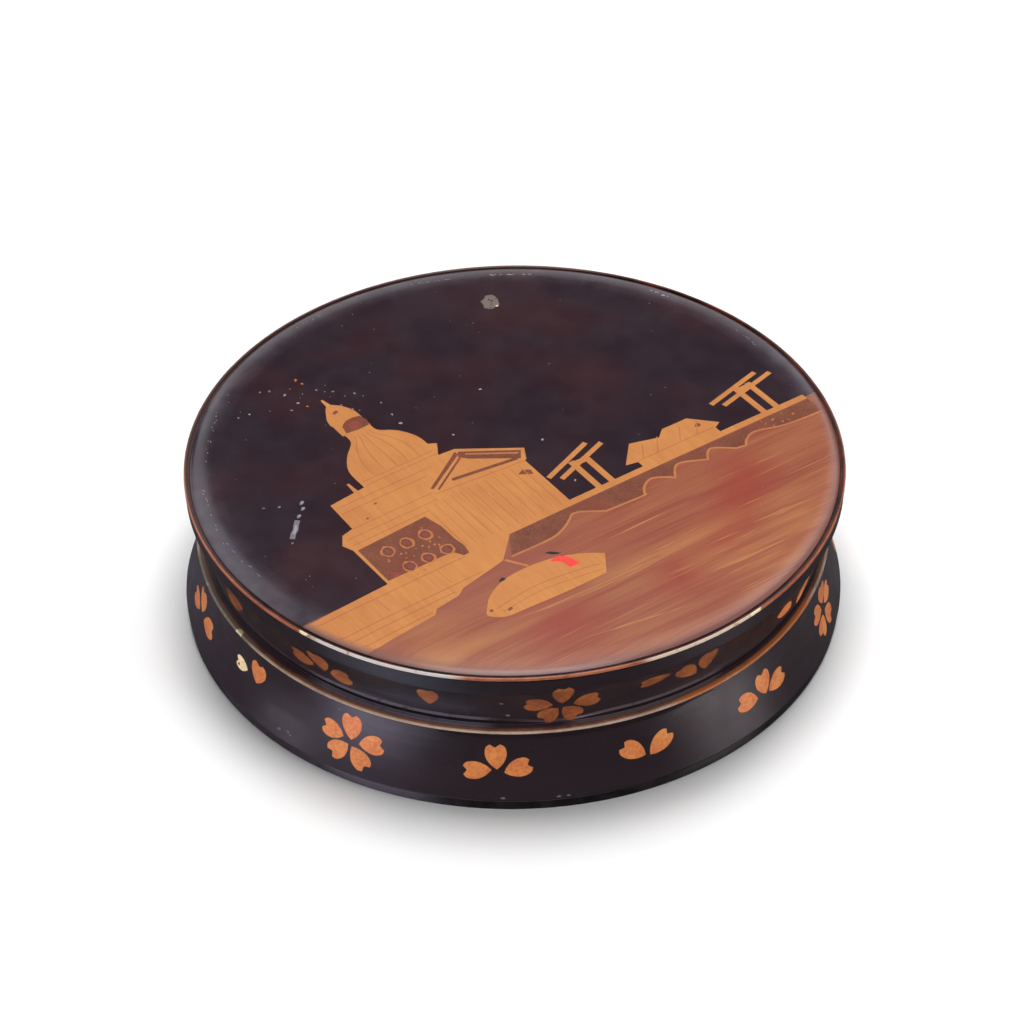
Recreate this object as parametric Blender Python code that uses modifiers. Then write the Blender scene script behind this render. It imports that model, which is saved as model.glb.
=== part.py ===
"""A round lacquer box with a lift-off lid.

Metres, +Z up. The origin is on the table, under the middle of the base. Both pieces are turned on the Z axis from a
profile of (radius, height) points: the base is a waisted bowl with a ledge and an inner lip, and the lid has a softly
domed top, a fine groove and a raised rim, and rests on the ledge, pushed against one side of the lip.
"""

import math

import bpy

# Base, outside
FOOT_RADIUS = 0.1021
LEDGE_RADIUS = 0.09735
BASE_HEIGHT = 0.0261
BASE_FLARE = 1.64
LEDGE_ROUND = 0.0008
SKIRT_ROUND = 0.0005
FOOT_BAND_HEIGHT = 0.0034
FOOT_BAND_INSET = 0.0003
FOOT_BAND_ROUND = 0.0004
FOOT_RING_WIDTH = 0.0070
FOOT_RECESS = 0.0010

# Base, inside
BASE_WALL = 0.0050
FLOOR_THICKNESS = 0.0040
FLOOR_CORNER = 0.0050
LIP_HEIGHT = 0.0048
LIP_THICKNESS = 0.0018
LIP_ROUND = 0.0006
LIP_ROOT = 0.0020
LIP_SWEEP = 0.0080

# Lid, outside
LID_RADIUS = 0.1000
LID_HEIGHT = 0.0236
RIM_WIDTH = 0.0010
RIM_HEIGHT = 0.0016
GROOVE_WIDTH = 0.0006
GROOVE_DEPTH = 0.0008
SHOULDER_WIDTH = 0.0070
SHOULDER_DROP = 0.0017
DOME_RISE = 0.0006
EDGE_INSET = 0.00015
EDGE_HEIGHT = 0.0052
LID_SWEEP = 1.75
LID_FOOT_RADIUS = 0.0946
LID_FOOT_ROUND = 0.0006

# Lid, inside
LID_FOOT_WALL = 0.0028
LID_WALL = 0.0036
LID_CORNER = 0.0050
TOP_THICKNESS = 0.0036

# Fits
LIP_PLAY = 0.0010
REST_GAP = 0.0003

# Facets
TURN_STEPS = 60
WALL_STEPS = 6
SHOULDER_STEPS = 5
CORNER_STEPS = 3
ROUND_STEPS = 2

LIP_RADIUS = LID_FOOT_RADIUS - LID_FOOT_WALL - LIP_PLAY
LIP_BORE = LIP_RADIUS - LIP_THICKNESS
LID_BOTTOM = BASE_HEIGHT + REST_GAP
LID_SHIFT = LIP_PLAY - REST_GAP


def arc(radius, height, size, start, end, steps):
    """Points of a round of the given size about (radius, height), from one angle in degrees to another."""
    turns = [math.radians(start + (end - start) * i / steps) for i in range(steps + 1)]
    return [(radius + size * math.cos(turn), height + size * math.sin(turn)) for turn in turns]


def levels(low, high, steps):
    """Heights from low to high in equal steps, both ends among them."""
    return [low + (high - low) * i / steps for i in range(steps + 1)]


def base_side(height):
    """Outer radius of the base's wall: upright under the ledge, then spreading to the foot."""
    top = BASE_HEIGHT - LEDGE_ROUND
    drop = (top - height) / (top - FOOT_BAND_HEIGHT - SKIRT_ROUND)
    return LEDGE_RADIUS + (FOOT_RADIUS - LEDGE_RADIUS) * min(max(drop, 0.0), 1.0) ** BASE_FLARE


def base_bore(height):
    """Inner radius of the base: it follows the wall, and sweeps in to the lip's bore below the ledge."""
    sweep = (BASE_HEIGHT - LIP_ROOT - height) / LIP_SWEEP
    sweep = min(max(sweep, 0.0), 1.0)
    ease = sweep * sweep * (3.0 - 2.0 * sweep)
    return LIP_BORE + (base_side(height) - BASE_WALL - LIP_BORE) * ease


def base_profile():
    """From the middle of the floor, up the inside, over the lip and ledge, down the outside and under the foot."""
    floor = FOOT_RECESS + FLOOR_THICKNESS
    corner = floor + FLOOR_CORNER
    bore_top = BASE_HEIGHT - LIP_ROOT
    lip_top = BASE_HEIGHT + LIP_HEIGHT
    side_top = BASE_HEIGHT - LEDGE_ROUND
    skirt = FOOT_BAND_HEIGHT + SKIRT_ROUND
    band_radius = FOOT_RADIUS - FOOT_BAND_INSET
    recess_radius = band_radius - FOOT_RING_WIDTH

    points = [(0.0, floor)]
    points += arc(base_bore(corner) - FLOOR_CORNER, corner, FLOOR_CORNER, -90, 0, CORNER_STEPS)
    points += [(base_bore(z), z) for z in levels(corner, bore_top, WALL_STEPS)[1:]]
    points += arc(LIP_BORE + LIP_ROUND, lip_top - LIP_ROUND, LIP_ROUND, 180, 90, ROUND_STEPS)
    points += arc(LIP_RADIUS - LIP_ROUND, lip_top - LIP_ROUND, LIP_ROUND, 90, 0, ROUND_STEPS)
    points.append((LIP_RADIUS, BASE_HEIGHT))
    points += arc(LEDGE_RADIUS - LEDGE_ROUND, side_top, LEDGE_ROUND, 90, 0, ROUND_STEPS)
    points += [(base_side(z), z) for z in levels(side_top, skirt, WALL_STEPS)[1:]]
    points += arc(FOOT_RADIUS - SKIRT_ROUND, skirt, SKIRT_ROUND, 0, -90, ROUND_STEPS)[1:]
    points.append((band_radius, FOOT_BAND_HEIGHT))
    points += arc(band_radius - FOOT_BAND_ROUND, FOOT_BAND_ROUND, FOOT_BAND_ROUND, 0, -90, ROUND_STEPS)
    points.append((recess_radius, 0.0))
    points.append((recess_radius - FOOT_RECESS, FOOT_RECESS))
    points.append((0.0, FOOT_RECESS))
    return points


def lid_side(height, low, high):
    """Outer radius of the lid's wall: full under the straight edge at high, drawn in to the foot at low."""
    edge_radius = LID_RADIUS - EDGE_INSET
    rise = min(max((height - low) / (high - low), 0.0), 1.0)
    return LID_FOOT_RADIUS + (edge_radius - LID_FOOT_RADIUS) * rise ** LID_SWEEP


def lid_profile():
    """From the middle of the top, over the shoulder, groove and rim, down the outside and up the inside."""
    rim_top = LID_BOTTOM + LID_HEIGHT
    groove = rim_top - GROOVE_DEPTH
    groove_out = LID_RADIUS - RIM_WIDTH
    groove_in = groove_out - GROOVE_WIDTH
    shoulder_in = groove_in - SHOULDER_WIDTH
    shoulder_top = groove + SHOULDER_DROP
    rim_round = RIM_WIDTH / 2
    edge_low = rim_top - EDGE_HEIGHT
    foot_top = LID_BOTTOM + LID_FOOT_ROUND
    ceiling = shoulder_top - TOP_THICKNESS
    corner = ceiling - LID_CORNER

    def dome(radius):
        return shoulder_top + DOME_RISE * (1.0 - (radius / shoulder_in) ** 2)

    def bore(height):
        up = (height - LID_BOTTOM) / (corner - LID_BOTTOM)
        wall = LID_FOOT_WALL + (LID_WALL - LID_FOOT_WALL) * up
        return lid_side(height, foot_top, edge_low) - wall

    points = [(radius, dome(radius)) for radius in levels(0.0, shoulder_in, 3)[:-1]]
    for step in range(SHOULDER_STEPS + 1):
        turn = math.pi / 2 * step / SHOULDER_STEPS
        across, down = math.sin(turn), 1.0 - math.cos(turn)
        points.append((shoulder_in + SHOULDER_WIDTH * across, shoulder_top - SHOULDER_DROP * down))
    points.append((groove_out, groove))
    points += arc(groove_out + rim_round, rim_top - rim_round, rim_round, 180, 0, 2 * ROUND_STEPS)
    points.append((LID_RADIUS, rim_top - RIM_HEIGHT + EDGE_INSET))
    points.append((LID_RADIUS - EDGE_INSET, rim_top - RIM_HEIGHT))
    points += [(lid_side(z, foot_top, edge_low), z) for z in levels(edge_low, foot_top, WALL_STEPS)]
    points += arc(LID_FOOT_RADIUS - LID_FOOT_ROUND, foot_top, LID_FOOT_ROUND, 0, -90, ROUND_STEPS)[1:]
    points.append((LID_FOOT_RADIUS - LID_FOOT_WALL, LID_BOTTOM))
    points += [(bore(z), z) for z in levels(LID_BOTTOM, corner, WALL_STEPS)[1:-1]]
    points += arc(bore(corner) - LID_CORNER, corner, LID_CORNER, 0, 90, CORNER_STEPS)
    points.append((0.0, ceiling))
    return points


def lacquer(name, colour, roughness):
    """A glossy, unmetallic coat of lacquer."""
    material = bpy.data.materials.new(name)
    material.use_nodes = True
    shader = material.node_tree.nodes["Principled BSDF"]
    shader.inputs["Base Color"].default_value = (*colour, 1.0)
    shader.inputs["Roughness"].default_value = roughness
    shader.inputs["Metallic"].default_value = 0.0
    return material


def turned(name, profile, material, collection):
    """A named piece turned on its own Z axis from a profile."""
    mesh = bpy.data.meshes.new(name)
    points = [(radius, 0.0, height) for radius, height in profile]
    mesh.from_pydata(points, [(i, i + 1) for i in range(len(points) - 1)], [])
    mesh.materials.append(material)
    piece = bpy.data.objects.new(name, mesh)
    collection.objects.link(piece)
    screw = piece.modifiers.new("Turn", "SCREW")
    screw.axis = "Z"
    screw.angle = math.tau
    screw.steps = TURN_STEPS
    screw.render_steps = TURN_STEPS
    screw.use_merge_vertices = True
    screw.merge_threshold = 0.00001
    screw.use_smooth_shade = True
    return piece


def build():
    """The base on the table and the lid on its ledge."""
    for old in list(bpy.data.objects):
        bpy.data.objects.remove(old, do_unlink=True)
    collection = bpy.data.collections.new("round_lacquer_box")
    bpy.context.scene.collection.children.link(collection)
    turned("base", base_profile(), lacquer("black_lacquer", (0.016, 0.011, 0.014), 0.30), collection)
    lid = turned("lid", lid_profile(), lacquer("plum_lacquer", (0.030, 0.019, 0.024), 0.25), collection)
    lid.location.x = LID_SHIFT


build()
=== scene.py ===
"""The looks of a round lacquer box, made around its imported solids.

Both halves are turned shells in millimetres, scaled to metres at the end. The picture on the lid and the
blossoms round the sides are outlines laid into the shells' own skin, so their edges are real edges between
one paint and the next.
"""

import math
import random

import bpy
from mathutils import Matrix, Vector
from mathutils.geometry import delaunay_2d_cdt


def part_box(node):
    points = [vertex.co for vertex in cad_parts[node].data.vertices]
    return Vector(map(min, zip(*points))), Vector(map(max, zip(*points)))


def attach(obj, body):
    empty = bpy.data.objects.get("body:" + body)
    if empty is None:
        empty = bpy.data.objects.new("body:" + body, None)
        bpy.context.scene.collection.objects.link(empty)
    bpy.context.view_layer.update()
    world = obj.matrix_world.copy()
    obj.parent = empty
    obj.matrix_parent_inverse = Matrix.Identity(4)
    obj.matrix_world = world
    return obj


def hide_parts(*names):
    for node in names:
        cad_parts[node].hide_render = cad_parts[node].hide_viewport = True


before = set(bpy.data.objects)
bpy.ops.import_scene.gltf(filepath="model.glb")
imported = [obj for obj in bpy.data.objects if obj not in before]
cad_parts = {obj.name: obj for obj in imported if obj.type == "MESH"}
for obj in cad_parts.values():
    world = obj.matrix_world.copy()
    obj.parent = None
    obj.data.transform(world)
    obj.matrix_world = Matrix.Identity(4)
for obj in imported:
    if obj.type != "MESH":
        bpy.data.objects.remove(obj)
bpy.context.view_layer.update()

MM = 0.001

# Turning, in steps round the piece, down its walls, round a corner and over the lid's top
AROUND = 240
WALL_STEPS = 14
ROUND_STEPS = 6
SHOULDER_STEPS = 9
TOP_RINGS = (25.0, 50.0, 75.0)
TOP_STEPS = 120
WELD = 0.0001
SMOOTH_BEND = math.radians(38)

# Base
BASE_LOW, BASE_HIGH = [Vector(corner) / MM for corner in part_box("base")]
FOOT_RADIUS = (BASE_HIGH.x - BASE_LOW.x) / 2
LIP_HEIGHT = 4.8
BASE_HEIGHT = BASE_HIGH.z - LIP_HEIGHT
LEDGE_RADIUS = 97.35
BASE_FLARE = 1.64
LEDGE_ROUND = 0.8
LEDGE_BORDER = 0.8
# The ledge takes the lid foot band's paint out to this radius, under and just beside the lid's foot
LEDGE_DARK = 95.3
# Height of the painted shadow line under the ledge in front
LEDGE_SHADE = 0.5
SKIRT_ROUND = 0.5
FOOT_BAND_HEIGHT = 3.4
FOOT_BAND_INSET = 0.3
FOOT_BAND_SLOPE = 0.2
FOOT_BAND_ROUND = 0.4
FOOT_RING_WIDTH = 7.0
FOOT_RECESS = 1.0
BASE_WALL = 5.0
FLOOR_THICKNESS = 4.0
FLOOR_CORNER = 5.0
LIP_THICKNESS = 1.8
LIP_ROUND = 0.6
LIP_ROOT = 2.0
LIP_SWEEP = 8.0
LIP_RADIUS = 90.8
LIP_BORE = LIP_RADIUS - LIP_THICKNESS

# Lid
LID_LOW, LID_HIGH = [Vector(corner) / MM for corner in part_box("lid")]
LID_RADIUS = (LID_HIGH.x - LID_LOW.x) / 2
LID_MIDDLE = (LID_HIGH.x + LID_LOW.x) / 2
LID_BOTTOM = LID_LOW.z
DOME_RISE = 0.6
DOME_TOP = LID_HIGH.z
SHOULDER_TOP = DOME_TOP - DOME_RISE
SHOULDER_DROP = 1.7
SHOULDER_WIDTH = 7.0
RIM_WIDTH = 1.0
RIM_HEIGHT = 1.6
GROOVE_WIDTH = 0.6
GROOVE_DEPTH = 0.8
# Painted shade: the groove's dark paint runs this far onto the shoulder
GROOVE_SHADE = 0.2
GROOVE_FLOOR = SHOULDER_TOP - SHOULDER_DROP
RIM_TOP = GROOVE_FLOOR + GROOVE_DEPTH
GROOVE_OUT = LID_RADIUS - RIM_WIDTH
GROOVE_IN = GROOVE_OUT - GROOVE_WIDTH
SHOULDER_IN = GROOVE_IN - SHOULDER_WIDTH
EDGE_INSET = 0.15
# The rim's colour runs down its side to this height above the step; a painted shadow line lies below it
RIM_LINE = 0.65
EDGE_RADIUS = LID_RADIUS - EDGE_INSET
EDGE_HEIGHT = 5.2
LID_SWEEP = 1.75
LID_FOOT_RADIUS = 94.6
LID_FOOT_ROUND = 0.6
LID_FOOT_WALL = 2.8
# Height of the lid's foot band, which is painted lighter, as painted light against the shade at the joint
SEAM_BAND = 1.3
LID_WALL = 3.6
LID_CORNER = 5.0
TOP_THICKNESS = 3.6

# How far up their rounds, in degrees, the rim's bare edge and the ledge's pale edge begin
RIM_BARE = 75
# The ledge's pale edge is worn, and partly a painted highlight
LEDGE_WEAR_AND_HIGHLIGHT = 20

# The share of its width at which the shoulder grows no steeper
STEEPEST = 0.995

# The rim has warped down a little round one place, given in degrees to the right of the front. The warp
# begins a short lead inside the shoulder, and a little above the lid's foot
WARP_MIDDLE = -19.0
WARP_SPREAD = 27.0
WARP_DEPTH = 1.05
WARP_LEAD = 2.0
WARP_FOOT = 3.0

# The picture lies along a shore line that crosses the lid from lower left to upper right
SHORE_POINT = Vector((-1.96, -38.3))
SHORE_TURN = math.radians(34.4)
QUAY_TURN = math.radians(-45.7)
VIEW_SLANT = 1.21
DRAPE_STEP = 3.0
PAINT_MARGIN = 0.05

# From the middle of a blossom to the inner tips of its petals
BLOSSOM_GAP = 1.8

# The picture's paints thin out to a dull red-brown between these radii, the gold last
THINNING = (SHOULDER_IN + 3.5, GROOVE_IN - 0.4)
GOLD_THINNING = (SHOULDER_IN + 4.4, GROOVE_IN - 0.6)

# One clear coat lies over the grounds and the picture, so they all shine alike
GLOSS = 0.45


class Signal:
    """One value in a material's nodes. Arithmetic on it adds Math nodes to the same material."""

    def __init__(self, finish, socket):
        self.finish = finish
        self.socket = socket

    def __add__(self, other):
        return self.finish.maths("ADD", self, other)

    def __sub__(self, other):
        return self.finish.maths("SUBTRACT", self, other)

    def __rsub__(self, other):
        return self.finish.maths("SUBTRACT", other, self)

    def __mul__(self, other):
        return self.finish.maths("MULTIPLY", self, other)

    __radd__ = __add__
    __rmul__ = __mul__


class Finish:
    """A material under way: one Principled shader and the nodes that feed it."""

    def __init__(self, name, gloss=GLOSS, **constants):
        self.material = bpy.data.materials.new(name)
        self.material.use_nodes = True
        self.tree = self.material.node_tree
        self.shader = self.tree.nodes["Principled BSDF"]
        self.shader.inputs["Specular IOR Level"].default_value = gloss
        for socket, value in constants.items():
            self.shader.inputs[socket.title()].default_value = value

    def node(self, kind, settings, inputs, output=0):
        """Adds a node, makes its settings, fills or links its sockets, and gives one of its outputs."""
        made = self.tree.nodes.new(kind)
        for name, value in settings.items():
            setattr(made, name, value)
        for name, value in inputs.items():
            self.feed(made.inputs[name], value)
        return Signal(self, made.outputs[output])

    def feed(self, socket, value):
        if isinstance(value, Signal):
            self.tree.links.new(value.socket, socket)
        else:
            socket.default_value = value

    def maths(self, operation, first, second=0.0):
        return self.node("ShaderNodeMath", {"operation": operation}, {0: first, 1: second})

    def place(self, turn=0.0, stretch=(1.0, 1.0, 1.0)):
        """Where a point is on the piece, in millimetres, turned about Z and then stretched."""
        spot = self.node("ShaderNodeTexCoord", {}, {}, "Object")
        inputs = {"Vector": spot, "Rotation": (0, 0, turn)}
        mapped = self.node("ShaderNodeMapping", {"vector_type": "POINT"}, inputs)
        scale = tuple(share / MM for share in stretch)
        return self.node("ShaderNodeVectorMath", {"operation": "MULTIPLY"}, {0: mapped, 1: scale})

    def part(self, place, axis):
        """One of a place's three distances: 0 is X, 1 is Y and 2 is Z."""
        return self.node("ShaderNodeSeparateXYZ", {}, {0: place}, axis)

    def cloud(self, size, detail, at=None):
        """Soft noise from 0 to 1 with patches about size millimetres across."""
        inputs = {"Vector": at or self.place(), "Scale": 1.0 / size, "Detail": detail}
        return self.node("ShaderNodeTexNoise", {}, inputs)

    def brushed(self, size, detail, along=1.0, above=1.0):
        """Soft noise that follows the shore, its pattern scaled along and above it."""
        return self.cloud(size, detail, self.place(-SHORE_TURN, (along, above, 1.0)))

    def varied(self, size, detail, start=0.0, end=1.0, low=0.3, high=0.7):
        """Soft noise whose stretch between low and high is spread over start to end."""
        return self.rise(self.cloud(size, detail), low, high, start, end)

    def near(self, spot, reach, core=0.0):
        """1 within core millimetres of a spot, falling to 0 at reach."""
        span = self.node("ShaderNodeVectorMath", {"operation": "DISTANCE"}, {0: self.place(), 1: spot}, 1)
        return self.rise(span, core, reach, 1.0, 0.0)

    def patches(self, *spots):
        """Soft patches about (x, y, reach) spots on the lid's top, added together."""
        total = 0.0
        for x, y, reach in spots:
            total = self.near((x, y, SHOULDER_TOP), reach) + total
        return total

    def shoulder(self, start, end):
        """0 on the lid's top inside the start radius, rising to 1 at the end radius."""
        return 1.0 - self.near((LID_MIDDLE, 0.0, SHOULDER_TOP), end, start)

    def rise(self, value, low, high, start=0.0, end=1.0):
        """A ramp from start to end while the value goes from low to high."""
        inputs = {"Value": value, "From Min": low, "From Max": high, "To Min": start, "To Max": end}
        return self.node("ShaderNodeMapRange", {"clamp": True}, inputs)

    def blend(self, first, second, share):
        """A colour on its way from first to second."""
        return self.node("ShaderNodeMix", {"data_type": "RGBA"}, {0: share, 6: first, 7: second}, 2)

    def colour(self, *mixed):
        """Sets the base colour, given as one colour or as what blend takes."""
        value = self.blend(*mixed) if len(mixed) > 1 else mixed[0]
        self.feed(self.shader.inputs["Base Color"], value)

    def roughness(self, value):
        self.feed(self.shader.inputs["Roughness"], value)

    def bump(self, height, depth):
        """Raises the surface by up to depth millimetres where height is 1."""
        inputs = {"Height": height, "Distance": depth * MM, "Strength": 1.0}
        self.feed(self.shader.inputs["Normal"], self.node("ShaderNodeBump", {}, inputs))


def paint(red, green, blue):
    """A colour as the eye names it, 0 to 255, made linear for the shader."""
    def linear(level):
        level /= 255.0
        return level / 12.92 if level <= 0.04045 else ((level + 0.055) / 1.055) ** 2.4
    return (linear(red), linear(green), linear(blue), 1.0)


THIN_PAINT = paint(112, 84, 82)


def plum_lacquer():
    """The lid's ground: plum-black, redder in faint clouds, with a painted reflection: a grey sheen along the
    shoulder.
    """
    finish = Finish("plum_lacquer")
    ground = finish.blend(paint(36, 22, 31), paint(48, 25, 31), finish.varied(30.0, 3.0, low=0.40, high=0.66))
    # Painted reflection: a patchy grey-lavender sheen over the shoulder, weaker at the left
    shoulder_sheen = finish.shoulder(SHOULDER_IN - 3.0, SHOULDER_IN + 5.0)
    shoulder_sheen = shoulder_sheen * finish.varied(7.0, 3.0, 0.12, 0.36)
    shoulder_sheen = shoulder_sheen * (1.0 - finish.near((-94.0, 1.0, SHOULDER_TOP), 22.0, 4.0) * 0.9)
    finish.colour(ground, paint(112, 104, 114), shoulder_sheen)
    finish.roughness(finish.varied(9.0, 4.0, 0.18, 0.25))
    finish.bump(finish.cloud(2.4, 2.0), 0.004)
    return finish.material


def black_lacquer():
    """The sides' ground: near-black lacquer with faint scuffs, and painted shade centred on the lid's side at
    the front left.
    """
    finish = Finish("black_lacquer")
    worn = finish.varied(1.1, 4.0, low=0.62, high=0.74)
    patches = finish.varied(11.0, 2.0, low=0.5, high=0.72)
    # Painted shade: a darker soft patch centred on the lid's side at the front left
    painted_shade = finish.near(edge_spot(-20.0, EDGE_RADIUS, 44.0), 36.0, 10.0)
    ground = finish.blend(paint(38, 26, 32), paint(18, 13, 18), painted_shade)
    finish.colour(ground, paint(78, 66, 72), worn * patches * 0.6)
    finish.roughness(finish.varied(7.0, 3.0, 0.30, 0.38))
    finish.bump(finish.cloud(2.0, 2.0), 0.005)
    return finish.material


def inner_lacquer():
    """The plain satin black inside both halves."""
    finish = Finish("inner_lacquer", 0.3)
    finish.colour(paint(24, 18, 20), paint(32, 22, 23), finish.cloud(20.0, 3.0))
    finish.roughness(finish.varied(6.0, 3.0, 0.30, 0.42))
    finish.bump(finish.cloud(1.6, 2.0), 0.008)
    return finish.material


def underside_lacquer():
    """The matt underside, rubbed down to brown where it stands."""
    finish = Finish("underside_lacquer", 0.25)
    rubbed = finish.varied(3.0, 5.0, low=0.5, high=0.66)
    finish.colour(paint(28, 21, 22), paint(86, 60, 46), rubbed * 0.6)
    finish.roughness(finish.rise(rubbed, 0.0, 1.0, 0.42, 0.60))
    finish.bump(finish.cloud(0.8, 3.0), 0.02)
    return finish.material


def gold_powder(name, bright, deep):
    """Sprinkled gold under clear lacquer: a warm satin leaf colour, streaked along the uprights."""
    finish = Finish(name, metallic=0.2)
    streaks = finish.brushed(1.3, 2.0, above=0.14)
    grain = finish.cloud(0.4, 2.0)
    tone = finish.rise(streaks * 0.4 + grain * 0.2 + finish.cloud(14.0, 2.0) * 0.4, 0.38, 0.62)
    gold = finish.blend(deep, bright, tone)
    finish.colour(gold, THIN_PAINT, finish.shoulder(*GOLD_THINNING) * 0.9)
    finish.roughness(finish.rise(grain, 0.3, 0.7, 0.30, 0.42))
    finish.bump(grain * 0.5 + streaks * 0.5, 0.006)
    return finish.material


def russet_water():
    """The water: red-brown brushed along the shore with thin gold, and bare red in a few broad patches."""
    finish = Finish("russet_water")
    broad = finish.brushed(5.5, 2.0, along=0.12)
    fine = finish.brushed(0.9, 2.0, along=0.03)
    brushed = finish.rise(broad * 0.6 + fine * 0.4, 0.38, 0.62)
    ground = finish.blend(paint(137, 71, 55), paint(151, 92, 64), brushed)
    bare = finish.patches((70, -12, 16), (67, -27, 14), (61, -42, 13), (48, -58, 14), (14, -78, 20))
    gilded = finish.patches((72, -50, 26), (-24, -86, 16), (84, -31, 15))
    along, above = [finish.part(finish.place(-SHORE_TURN), axis) for axis in (0, 1)]
    wake = finish.rise(above, -69.5, -66.0) * finish.rise(above, -65.0, -61.5, 1.0, 0.0)
    gilded = gilded + wake * finish.rise(along, 18.0, 38.0, 1.0, 0.0)
    gilded = gilded * finish.rise(broad, 0.4, 0.6, 0.3, 0.9)
    under_quay = finish.rise(finish.part(finish.place(QUAY_TURN), 1), -46.0, -33.0)
    under_quay = under_quay * finish.rise(along, -18.0, 2.0, 1.0, 0.0)
    ground = finish.blend(ground, paint(140, 78, 64), under_quay * 0.8)
    ground = finish.blend(ground, paint(140, 60, 47), finish.rise(bare, 0.1, 0.9, 0.0, 0.8))
    ground = finish.blend(ground, paint(166, 107, 70), gilded)
    finish.colour(ground, THIN_PAINT, finish.shoulder(*THINNING) * 0.8)
    finish.roughness(finish.rise(fine, 0.3, 0.7, 0.20, 0.26))
    finish.bump(fine, 0.004)
    return finish.material


def thin_gold():
    """Gold brushed thinly over the water, with the red-brown showing through."""
    finish = Finish("thin_gold")
    streaks = finish.brushed(0.9, 3.0, along=0.05)
    gold = finish.blend(paint(151, 92, 61), paint(170, 111, 72), finish.rise(streaks, 0.4, 0.6))
    finish.colour(gold, THIN_PAINT, finish.shoulder(*THINNING) * 0.8)
    finish.roughness(finish.rise(streaks, 0.3, 0.7, 0.20, 0.26))
    return finish.material


def brown_wash():
    """The brown of shaded walls and roofs: thin gold over dark ground, clouded and redder in places."""
    finish = Finish("brown_wash")
    cloudy = finish.varied(6.0, 1.5)
    mottled = finish.varied(0.7, 3.0, low=0.34, high=0.66)
    brown = finish.blend(paint(98, 54, 44), paint(130, 76, 54), cloudy * 0.35 + mottled * 0.65)
    red = finish.varied(12.0, 1.0, low=0.5, high=0.75)
    finish.colour(brown, paint(120, 54, 42), red * 0.5)
    finish.roughness(finish.rise(cloudy, 0.0, 1.0, 0.21, 0.26))
    return finish.material


def plain_paint(name, colour, roughness=0.34):
    """A small touch of one colour, slightly uneven."""
    finish = Finish(name)
    darker = tuple(channel * 0.78 for channel in colour[:3]) + (1.0,)
    finish.colour(darker, colour, finish.varied(0.8, 3.0, low=0.35, high=0.6))
    finish.roughness(finish.varied(3.0, 2.0, roughness - 0.04, roughness + 0.04))
    return finish.material


def edge_lacquer(name, dark, bare, worn, touches=(), gloss=GLOSS):
    """Lacquer along an edge, rubbed towards a bare colour, with (spot, reach, colour) touches."""
    finish = Finish(name, gloss)
    patches = finish.cloud(9.0, 3.0) * 0.7 + finish.cloud(1.5, 2.0) * 0.3
    rubbed = finish.rise(patches, worn - 0.12, worn + 0.12)
    tone = finish.blend(dark, bare, rubbed)
    for spot, reach, colour in touches:
        streak = finish.near(spot, reach, reach * 0.8) * finish.varied(2.5, 3.0, low=0.24, high=0.42)
        tone = finish.blend(tone, colour, streak)
    finish.colour(tone)
    finish.roughness(finish.rise(rubbed, 0.0, 1.0, 0.29, 0.36))
    finish.bump(rubbed, 0.008)
    return finish.material


def petal_gold(name, bright, deep):
    """The blossoms' gold, worn a little thinner and redder in places."""
    finish = Finish(name, metallic=0.15)
    patches = finish.cloud(7.0, 2.0) * 0.5 + finish.cloud(0.9, 3.0) * 0.5
    finish.colour(deep, bright, finish.rise(patches, 0.38, 0.62))
    finish.roughness(finish.varied(0.5, 2.0, 0.36, 0.46))
    finish.bump(finish.cloud(0.5, 2.0), 0.01)
    return finish.material


def edge_spot(degrees, radius, height):
    """A place on an edge, from its angle to the right of the front."""
    return around(radius, height, math.radians(degrees))


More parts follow.
